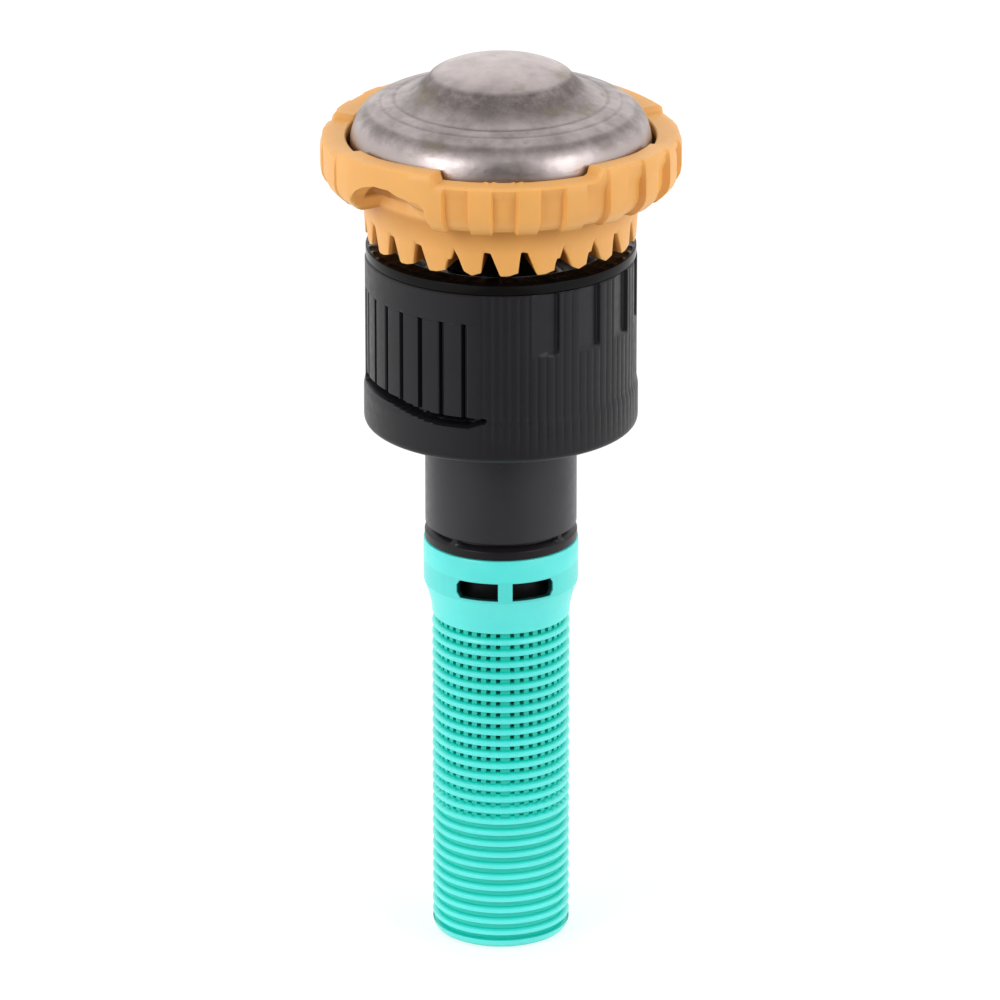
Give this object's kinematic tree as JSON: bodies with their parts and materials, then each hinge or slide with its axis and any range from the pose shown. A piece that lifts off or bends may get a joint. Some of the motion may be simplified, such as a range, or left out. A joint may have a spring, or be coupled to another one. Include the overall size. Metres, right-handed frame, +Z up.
{
  "type": "pop-up sprinkler nozzle",
  "caption": "Rotary-stream nozzle for a pop-up sprinkler, with a turning deflector, a radius collar, a threaded riser socket and a pull-off inlet screen.",
  "frame": {"origin": "on the nozzle's axis, on the annular seat that meets the top of the riser tube", "axes": "+Z up along the nozzle's axis towards the cap; -Y is the front, where the rim's notch is"},
  "size_m": [0.0294, 0.0294, 0.076],
  "materials": {
    "base_plastic": "smooth satin moulding",
    "black_plastic": "satin moulding",
    "collar_plastic": "satin moulding with fine vertical ribs",
    "tan_plastic": "matt moulding",
    "turquoise_plastic": "matt moulding",
    "acetal": "low-friction moulding",
    "rubber": "moulded rubber",
    "stainless_cap": "stamped, tumbled and lightly smudged",
    "shaft_steel": "ground",
    "spring_steel": "drawn wire and strip"
  },
  "bodies": {
    "base": {"nozzle_base": "base_plastic", "hub": "black_plastic", "throttle_seat": "acetal", "upper_body": "black_plastic", "lower_collar_seal": "rubber", "upper_collar_seal": "rubber", "spring_washer": "spring_steel"},
    "collar": {"radius_collar": "collar_plastic"},
    "throttle": {"throttle_nut": "acetal"},
    "arc": {"arc_sleeve": "black_plastic", "arc_sleeve_seal": "rubber"},
    "stem": {"shaft": "shaft_steel", "friction_disc": "acetal", "spring_retainer": "spring_steel", "shaft_clip": "spring_steel", "return_spring": "spring_steel"},
    "turret": {"deflector": "tan_plastic", "deflector_cap": "stainless_cap", "shaft_bush": "acetal", "shaft_seal": "rubber", "lower_brake_pad": "rubber", "upper_brake_pad": "rubber", "brake_cover": "black_plastic"},
    "inlet": {"screen": "turquoise_plastic"}
  },
  "joints": [
    {"name": "collar_turn", "type": "hinge", "parent": "base", "child": "collar", "pos_m": [0, 0, 0], "axis": [0, 0, 1], "range_deg": [0, 270]},
    {"name": "throttle_travel", "type": "slide", "parent": "collar", "child": "throttle", "axis": [0, 0, -1], "range_m": [0, 0.00201]},
    {"name": "arc_turn", "type": "hinge", "parent": "base", "child": "arc", "pos_m": [0, 0, 0.006], "axis": [0, 0, 1], "range_deg": [0, 225]},
    {"name": "stem_pop_up", "type": "slide", "parent": "base", "child": "stem", "axis": [0, 0, 1], "range_m": [-0.0005, 0.004], "stiffness_N_per_m": 250, "deforming": ["return_spring"]},
    {"name": "turret_spin", "type": "hinge", "parent": "stem", "child": "turret", "pos_m": [0, 0, 0.012], "axis": [0, 0, 1], "continuous": true},
    {"name": "screen_pull", "type": "slide", "parent": "base", "child": "inlet", "axis": [0, 0, -1], "range_m": [0, 0.008]}
  ],
  "couplings": [
    {"joint": "throttle_travel", "follows": "collar_turn", "m_per_rad": 0.00042441}
  ]
}
